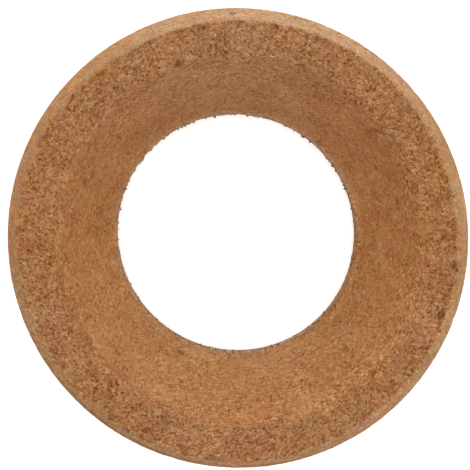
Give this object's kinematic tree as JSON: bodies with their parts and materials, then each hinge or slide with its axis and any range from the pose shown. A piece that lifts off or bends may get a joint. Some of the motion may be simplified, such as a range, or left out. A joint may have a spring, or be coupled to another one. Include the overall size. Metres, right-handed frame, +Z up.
{
  "type": "cork ring",
  "caption": "One-piece pressed-cork ring with a conical seat that holds a round-bottomed flask upright on a bench.",
  "frame": {"origin": "middle of the flat base, on the axis of the hole", "axes": "+Z up along the axis of the hole, from the base to the rim; X and Y are any two directions across the base"},
  "size_m": [0.11, 0.11, 0.03],
  "materials": {
    "cork": "matte"
  },
  "bodies": {
    "root": {"cork_ring": "cork"}
  },
  "joints": []
}
